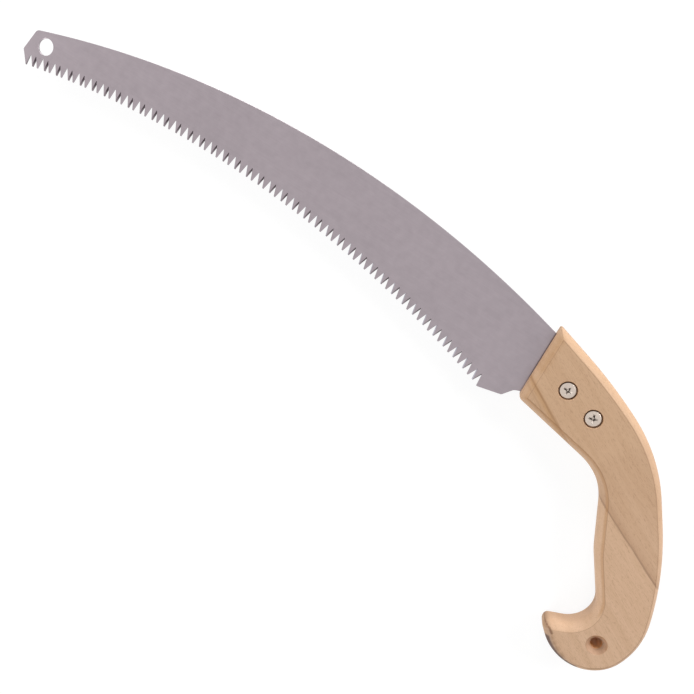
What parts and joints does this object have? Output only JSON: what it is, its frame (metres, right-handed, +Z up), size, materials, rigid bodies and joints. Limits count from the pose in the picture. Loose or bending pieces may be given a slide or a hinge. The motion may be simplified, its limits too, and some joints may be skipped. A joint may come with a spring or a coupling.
{
  "type": "curved pruning saw",
  "caption": "Hand pruning saw: a curved pull-cut steel blade with a hang hole, screwed into the slot of a hardwood pistol-grip handle with a hooked butt.",
  "frame": {"origin": "centre of the footprint, at the underside of the handle, with the saw lying flat on its side", "axes": "+X from the blade's nose towards the handle, +Y from the teeth towards the blade's plain back, +Z up through the thickness"},
  "size_m": [0.4812, 0.126, 0.018],
  "materials": {
    "blade_steel": "fine matt rolled and polished carbon steel, bright filed teeth",
    "handle_wood": "sanded pale hardwood with a thin clear oil",
    "plated_steel": "bright zinc plate"
  },
  "bodies": {
    "root": {"blade": "blade_steel", "handle": "handle_wood", "front_screw": "plated_steel", "rear_screw": "plated_steel", "front_sleeve_nut": "plated_steel", "rear_sleeve_nut": "plated_steel"}
  },
  "joints": []
}
